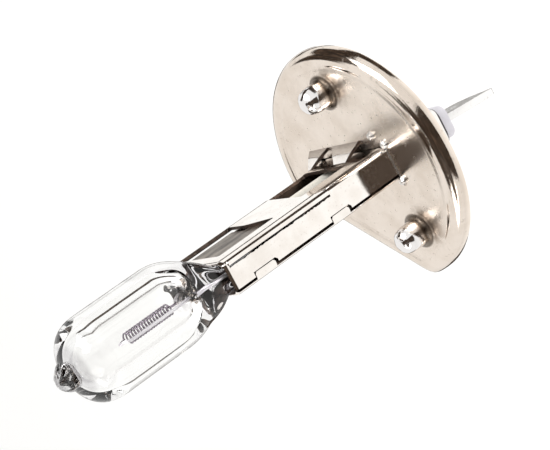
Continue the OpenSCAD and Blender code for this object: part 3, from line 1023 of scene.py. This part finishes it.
def makeBeads():
    draw = random.Random(beads["seed"])
    cornerX, cornerY = sideX + beads["outX"], sideY + beads["outY"]
    spots = [(sx * cornerX, sy * cornerY) for sx in (-1, 1) for sy in (-1, 1)] + [beads["loose"]]
    parts = [beadMesh(x, y, beads["radius"] * draw.uniform(beads["smallest"], 1.0), k)
             for k, (x, y) in enumerate(spots)]
    # the narrow walls are fused to the flange along thin lines
    reach = sideY - beads["seamMargin"]
    for side in (-1, 1):
        x = side * (sideX + beads["seamOut"])
        seam = [Vector((x, reach * (i / 8 - 1), beads["seamHigh"])) for i in range(17)]
        parts.append(sweep(seam, beads["seamRadius"], 10))
    points, faces = joined(*parts)
    settle(addPiece("weldBeads", points, faces, [weldFinish], "weld_metal", ["weld_beads"]), 60)


makeBeads()
print("weld beads made")


# what stands behind the flange
rear = {
    "footWide": 14.4, "footDeep": 7.2, "footCorner": 1.6, "sheet": 0.35,
    "wide": 10.4, "deep": 4.0, "corner": 0.7, "rear": -8.2,
    "skirtFront": 0.9, "flare": 0.5, "footEdge": 0.08,
    "headWide": 10.0, "headDeep": 3.6, "headCorner": 1.0, "headRear": -9.6, "headEdge": 0.3,
    "bodyFront": -4.2, "bodyGap": 0.05, "bodyCorner": 0.4, "slotGap": 0.3, "slotLip": 0.12, "slotDepth": 1.6,
    "bladeWide": 6.3, "bladeThick": 0.8, "bladeEnd": 18.4, "chamfer": 0.9, "bladeY": -0.45,
    "bladeEased": 0.3, "bladeRoot": 3, "tailHalf": 1.6, "tailEnd": 5.5, "lean": 4, "turn": 6,
    # a stiffening groove: its depth, its sides from the middle, its ends along the blade
    "groove": 0.2, "grooveSide": (0.75, 0.2), "grooveRoot": (0.2, -0.4), "grooveTip": (-5.2, -4.6),
    # the tip is pressed thinner
    "thinFrom": 7.2, "thinOver": 1.6, "thinBy": 0.22,
}


def boxRing(width, height, corner, z):
    return [Vector((x, y, z)) for x, y in roundedBox(width, height, corner)]


def makeCollar():
    front, end = -disc["sheet"], rear["rear"]
    t, flare = rear["sheet"], rear["flare"]
    w, h, c = rear["wide"], rear["deep"], rear["corner"]
    # from the bore over the rounded rear edge to the outside: inset and corner in sheets, then height
    skirt = ((2, 1, front - rear["skirtFront"]), (2, 1, end + 0.1), (1.6, 0.8, end + 0.02), (0.9, 0.45, end),
             (0.2, 0, end + 0.06), (0, 0, end + 0.2), (0, 0, front - t - flare - 0.1))
    rings = [boxRing(w - inset * t, h - inset * t, c - corner * t, z) for inset, corner, z in skirt]
    for i in range(1, 7):
        a = math.radians(15 * i)
        grow = flare * (1 - math.cos(a))
        rings.append(boxRing(w + 2 * grow, h + 2 * grow, c + grow, front - t - flare + flare * math.sin(a)))
    w, h, c = rear["footWide"], rear["footDeep"], rear["footCorner"]
    edge = rear["footEdge"]
    rings.append(boxRing(w - 2 * edge, h - 2 * edge, c - edge, front - t))
    rings.append(boxRing(w, h, c, front - t + edge))
    rings.append(boxRing(w, h, c, front - 0.02))
    points, faces = loft(rings)
    piece = addPiece("rearCollar", points, faces, [collarFinish], "flange_plate", ["rear_collar"])
    settle(piece, 40)


def onBlade(point):
    # the blade's own frame: length along Z, from the insulator's rear face
    turn = Matrix.Rotation(math.radians(rear["turn"]), 3, "Z")
    lean = Matrix.Rotation(math.radians(-rear["lean"]), 3, "X")
    return Vector((0, rear["bladeY"], rear["headRear"])) + turn @ (lean @ Vector(point))


def makeBlade():
    half, root = rear["bladeWide"] / 2, rear["bladeRoot"]
    tail, tailEnd = rear["tailHalf"], rear["tailEnd"]
    end = -(rear["bladeEnd"] + rear["headRear"])
    c, t = rear["chamfer"], rear["bladeThick"]
    outline = [(-half, root), (-half, end + c), (-half + c, end), (half - c, end), (half, end + c),
               (half, root), (tail, root), (tail, tailEnd), (-tail, tailEnd), (-tail, root)]
    blank = cutBlank(softCorners(outline, 0.25, 3), [], 0.4, (), 12)

    def place(u, v):
        sides = fade(abs(u), *rear["grooveSide"])
        ends = fade(v, *rear["grooveRoot"]) * fade(v, *rear["grooveTip"])
        return onBlade((u, t / 2 - rear["groove"] * sides * ends, v))

    piece = sheetPiece("terminalBlade", flipped(blank), place, [bladeFinish], "terminal_plate",
                       ["terminal_blade"], t, rear["bladeEased"])
    origin = onBlade((0, 0, 0))
    push = onBlade((0, 1, 0)) - origin
    for vertex in piece.data.vertices:
        local = vertex.co / mm - Vector((0, rear["bladeY"], rear["headRear"]))
        thin = max(0, min(1, (-local.z - rear["thinFrom"]) / rear["thinOver"])) * rear["thinBy"]
        middle = (onBlade((0, 0, local.z)) - origin).dot(push)
        vertex.co -= push * (local.dot(push) - middle) * thin * mm


def makeInsulator():
    w, h, c = rear["headWide"], rear["headDeep"], rear["headCorner"]
    inset = 2 * (rear["sheet"] + rear["bodyGap"])
    innerW, innerH = rear["wide"] - inset, rear["deep"] - inset
    front, back, edge = rear["rear"] - 0.02, rear["headRear"], rear["headEdge"]
    rings = [boxRing(innerW, innerH, rear["bodyCorner"], rear["bodyFront"]),
             boxRing(innerW, innerH, rear["bodyCorner"], front),
             boxRing(w - 0.1, h - 0.1, c, front), boxRing(w, h, c, front - 0.08)]
    for i in range(6):
        a = math.radians(18 * i)
        cut = edge * (1 - math.cos(a))
        rings.append(boxRing(w - 2 * cut, h - 2 * cut, c - cut * 0.8, back + edge - edge * math.sin(a)))
    # the slot that the blade leaves by, with a small lip
    slotW, slotH = rear["bladeWide"] + rear["slotGap"], rear["bladeThick"] + rear["slotGap"]
    for lift, grow in ((0.0, 2 * rear["slotLip"]), (rear["slotLip"], 0.0), (rear["slotDepth"], 0.0)):
        ring = [onBlade((x, y, lift)) for x, y in roundedBox(slotW + grow, slotH + grow, 0.3)]
        rings.append([Vector((p.x, p.y, back + lift)) for p in ring])
    points, faces = loft(rings, True, True)
    piece = addPiece("bladeInsulator", points, faces, [ceramicFinish], "ceramic", ["insulator"])
    settle(piece, 45)


makeCollar()
makeInsulator()
makeBlade()
print("collar, insulator and blade made")


# the glass: a flat pinch, a barrel, a dome and a melted-off tip
quartz = {
    "radius": 4.5, "around": 112, "pinchWide": 4.6, "pinchThick": 1.3, "pinchLow": 12.4,
    "waist": 0.72, "waistEdge": (0.45, 0.9), "squareness": 7,
    # the pinch's rounded end: height above it, and size
    "pinchEnd": ((0, 0.75), (0.06, 0.86), (0.18, 0.94), (0.4, 0.985), (0.7, 1)),
    # rings along the pinch and the shoulder: first height, step, count
    "pinchRings": (14, 0.65, 12), "shoulderRings": (21.6, 0.22, 32), "barrelStart": 28.6,
    # heights between which the pinch turns into the barrel
    "widen": (22.4, 26.6), "roundOff": (21.4, 25.8), "waistEnd": (20.8, 23.0),
    "flares": ((0.5, 21.2, 23.6), (0.9, 23.0, 25.4)),
    "rearCentre": 28.2, "rearLength": 5.0, "frontCentre": 36.4, "frontLength": 3.9, "frontPower": 2.5,
    "neck": 1.12, "tipTop": 41.9, "tipRadius": 1.45, "tipSquash": 0.93, "tipArc": (-38, 88),
    "tipWave": 0.07, "tipLump": 0.1,
    "boreRadius": 2.45, "cavityRear": (28.4, 3.5), "cavityFront": (36.9, 1.9),
}


def blendMax(a, b, width):
    return -softMin(-a, -b, width)


def envelopeRing(z, wide, thick, power, waist):
    # a superellipse whose middle is thinner than its edges by the waist
    ring = []
    for i in range(quartz["around"]):
        a = 2 * math.pi * i / quartz["around"]
        c, s = math.cos(a), math.sin(a)
        x = math.copysign(abs(c) ** (2 / power), c) * wide
        y = math.copysign(abs(s) ** (2 / power), s) * thick
        edge = fade(abs(x) / wide, *quartz["waistEdge"])
        ring.append(Vector((x, y * (waist + (1 - waist) * edge), z)))
    return ring


def barrelRadius(z):
    if z < quartz["rearCentre"]:
        t = (quartz["rearCentre"] - z) / quartz["rearLength"]
        return quartz["radius"] * math.sqrt(max(0, 1 - t * t))
    return quartz["radius"]


def pinchRings():
    rings = []
    wide, thick, low = quartz["pinchWide"], quartz["pinchThick"], quartz["pinchLow"]
    for rise, size in quartz["pinchEnd"]:
        rings.append(envelopeRing(low + rise, wide - thick * (1 - size), thick * size, quartz["squareness"],
                                  quartz["waist"]))
    return rings


def shoulderRing(z):
    # one ring of the pinch or of the shoulder that it widens into
    radius = quartz["radius"]
    barrel = barrelRadius(z) if z > quartz["rearCentre"] - quartz["rearLength"] else 0
    mixed = fade(z, *quartz["widen"])
    wide = blendMax(quartz["pinchWide"] - 0.1 * mixed, barrel, 0.25)
    flare = sum(size * fade(z, start, end) for size, start, end in quartz["flares"])
    thick = min(blendMax(quartz["pinchThick"] + flare, barrel, 1.1), radius)
    power = quartz["squareness"] - (quartz["squareness"] - 2) * fade(z, *quartz["roundOff"])
    waist = quartz["waist"] + (1 - quartz["waist"]) * fade(z, *quartz["waistEnd"])
    return envelopeRing(z, wide + (radius - wide) * mixed, thick, power, waist)


def frontProfile():
    # radius and height, over the dome to the neck and round the tip
    radius, power = quartz["radius"], quartz["frontPower"]
    profile = []
    for i in range(1, 19):
        t = math.sin(math.radians(90 * i / 19))
        r = radius * (1 - t ** power) ** (1 / power)
        if r > quartz["neck"] + 0.35:
            profile.append((r, quartz["frontCentre"] + quartz["frontLength"] * t))
    neckZ = profile[-1][1] + 0.06
    profile += [(quartz["neck"] + 0.12, neckZ), (quartz["neck"], neckZ + 0.1)]
    tall = quartz["tipRadius"] * quartz["tipSquash"]
    start, end = quartz["tipArc"]
    for i in range(1, 13):
        a = math.radians(start + (end - start) * i / 12)
        r = quartz["tipRadius"] * math.cos(a) ** 0.85
        profile.append((r, quartz["tipTop"] - tall + tall * math.sin(a)))
    return profile, neckZ


def tipLump(angle, z):
    # the exhaust tip is melted off, so it is lumpy
    around = (math.cos(angle) * 1.5, math.sin(angle) * 1.5, z * 1.4)
    return quartz["tipWave"] * math.cos(5 * angle + 3 * z) + quartz["tipLump"] * ripple(around, 1.3, 4)


def frontRings():
    profile, neckZ = frontProfile()
    rings = []
    for r, z in profile:
        lumpy = fade(z, neckZ - 0.1, neckZ + 0.4)
        ring = []
        for k in range(quartz["around"]):
            a = 2 * math.pi * k / quartz["around"]
            wide = r * (1 + tipLump(a, z) * lumpy)
            ring.append(Vector((wide * math.cos(a), wide * math.sin(a), z)))
        rings.append(ring)
    return rings


def cavityProfile():
    bore = quartz["boreRadius"]
    rearZ, rearLength = quartz["cavityRear"]
    frontZ, frontLength = quartz["cavityFront"]
    profile = []
    for i in range(1, 15):
        t = math.cos(math.radians(90 * i / 14))
        profile.append((bore * math.sqrt(max(0, 1 - t * t)), rearZ - rearLength * t))
    profile += [(bore, rearZ + (frontZ - rearZ) * i / 5) for i in range(1, 6)]
    for i in range(1, 14):
        t = math.sin(math.radians(90 * i / 14))
        profile.append((bore * math.sqrt(1 - t * t), frontZ + frontLength * t))
    return profile


def makeEnvelope():
    rings = pinchRings()
    for first, step, count in (quartz["pinchRings"], quartz["shoulderRings"]):
        rings += [shoulderRing(first + step * i) for i in range(count)]
    start, radius = quartz["barrelStart"], quartz["radius"]
    for i in range(1, 8):
        rings.append(envelopeRing(start + (quartz["frontCentre"] - start) * i / 7, radius, radius, 2, 1))
    outer = loft(rings + frontRings(), True, True)

    turns = [2 * math.pi * k / 64 for k in range(64)]
    hollow = [[Vector((r * math.cos(a), r * math.sin(a), z)) for a in turns] for r, z in cavityProfile()]
    points, faces = joined(outer, flipped(loft(hollow, True, True)))
    settle(addPiece("quartzEnvelope", points, faces, [quartzLook], "quartz", ["quartz_envelope"]), 70)


makeEnvelope()
print("quartz envelope made")


# the coil, its legs and the two leads that hold it
burner = {
    "coilRadius": 0.6, "wire": 0.085, "turns": 16, "start": 28.0, "length": 5.6, "y": -0.3,
    "legRadius": 0.13, "legLength": 1.1,
    "leadRadius": 0.2, "leadX": 2.6, "foilTop": 20.4, "straightTop": 22.6,
    "returnX": 1.25, "returnY": -0.25, "returnRadius": 0.15,
    # where the rear lead rises from the pinch to the coil
    "rearBend": ((-1.5, -0.1, 24.2), (-1.2, -0.1, 25.4), (-0.75, -0.22, 26.3)),
    # it is flattened and folded over where it grips the coil's leg: growth, then shares of its length
    "claw": 0.16, "clawStart": (0.3, 0.55), "clawEnd": (0.98, 0.86),
}


def makeFilament():
    radius, y, leg = burner["coilRadius"], burner["y"], burner["legLength"]
    start, end = burner["start"], burner["start"] + burner["length"]
    path = []
    steps = burner["turns"] * 20
    for i in range(steps + 1):
        a = math.pi + 2 * math.pi * burner["turns"] * i / steps
        z = start + burner["length"] * i / steps
        path.append(Vector((radius * math.cos(a), y + radius * math.sin(a), z)))
    lowLeg = [Vector((-0.3, y, start - leg)), Vector((-0.34, y, start - 0.5)),
              path[0] + Vector((0.02, 0.1, -0.12)), path[0]]
    highLeg = [path[-1], path[-1] + Vector((0.05, -0.1, 0.14)),
               Vector((-0.1, y, end + 0.6)), Vector((0.25, y, end + leg))]
    legs = [sweep(smoothPath(knots, 6), burner["legRadius"], 10) for knots in (lowLeg, highLeg)]
    points, faces = joined(sweep(path, burner["wire"], 8), *legs)
    settle(addPiece("coiledFilament", points, faces, [coilFinish], "tungsten", ["filament"]), 60)


def clawRadius(t):
    grip = fade(t, *burner["clawStart"]) * fade(t, *burner["clawEnd"])
    return burner["leadRadius"] + burner["claw"] * grip


def makeLead(name, knots, node, radius, finish):
    points, faces = sweep(smoothPath(knots, 8), radius, 14)
    settle(addPiece(name, points, faces, [finish], "molybdenum", [node]), 60)


def makeLeads():
    x, y, leg = burner["leadX"], burner["y"], burner["legLength"]
    start, end = burner["start"], burner["start"] + burner["length"]
    rearKnots = [(-x, 0, burner["foilTop"]), (-x, 0, burner["straightTop"]), *burner["rearBend"],
                 (-0.3, y, start - leg)]
    makeLead("rearLead", rearKnots, "rear_lead", clawRadius, leadFinish)
    rx, ry = burner["returnX"], burner["returnY"]
    returnKnots = [(x, 0, burner["foilTop"]), (x, 0, burner["straightTop"]), (1.6, ry + 0.1, 24.3),
                   (rx, ry, 25.6), (rx, ry, 28.5), (rx, ry, 31.5), (rx, ry, end + 0.2),
                   (0.9, ry + 0.1, end + 0.8), (0.3, y, end + leg)]
    # the return lead takes the molybdenum painted as a highlight
    makeLead("returnLead", returnKnots, "return_lead", burner["returnRadius"], highlightedLead)


makeFilament()
makeLeads()
print("filament and leads made")


# these parts keep their shape and only get a finish and an eased edge, in millimetres
kept = {
    "foil_live": (leadFinish, 0.02), "foil_ground": (leadFinish, 0.02),
    "pin_live": (leadFinish, 0.05), "pin_ground": (leadFinish, 0.05),
    "live_strap": (stripFinish, 0.05), "ground_strap": (stripFinish, 0.05),
    "lead_sleeve": (sleeveFinish, 0.08), "cement": (cementFinish, 0.08),
    "pinch_spring_upper": (springFinish, 0.05), "pinch_spring_lower": (springFinish, 0.05),
}


def finishKept():
    for node, (finish, edge) in kept.items():
        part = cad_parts[node]
        part.data.materials.clear()
        part.data.materials.append(finish)
        modify(part, "WELD", merge_threshold=0.002 * mm)
        modify(part, "BEVEL", width=edge * mm, segments=2, limit_method="ANGLE",
               angle_limit=math.radians(40), harden_normals=True)


finishKept()
print("kept parts finished")
